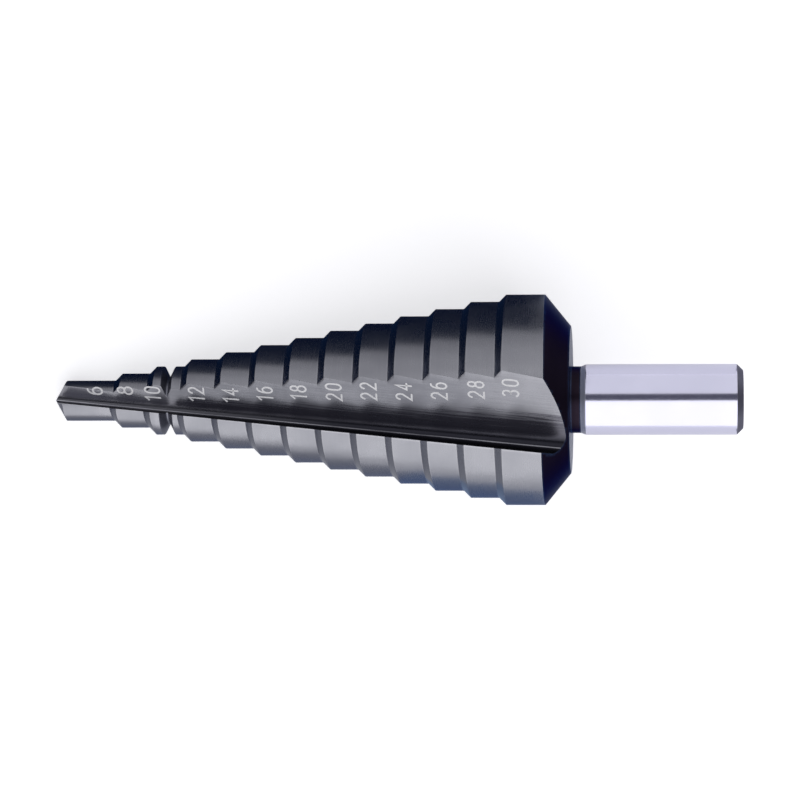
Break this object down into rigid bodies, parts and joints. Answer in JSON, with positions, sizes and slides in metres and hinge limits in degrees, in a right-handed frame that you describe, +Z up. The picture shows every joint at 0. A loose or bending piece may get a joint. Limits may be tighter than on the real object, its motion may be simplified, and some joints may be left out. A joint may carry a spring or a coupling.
{
  "type": "step drill bit",
  "caption": "Stepped conical drill bit for sheet metal, with straight V flutes, a numbered flute wall and a plain round shank.",
  "frame": {"origin": "centre of the bounding box at floor level, with the drill lying as it comes to rest on one flute's two land corners and its front lip corner", "axes": "+Z up, +X along the drill from the tip towards the shank, +Y across; the drill's own axis rises from the tip to the shank in the XZ plane"},
  "size_m": [0.0972, 0.0298, 0.0285],
  "materials": {
    "tool_steel": "dark oxidised, ground steps and flutes with a bright ground shank"
  },
  "bodies": {
    "root": {"drill_bit": "tool_steel"}
  },
  "joints": []
}
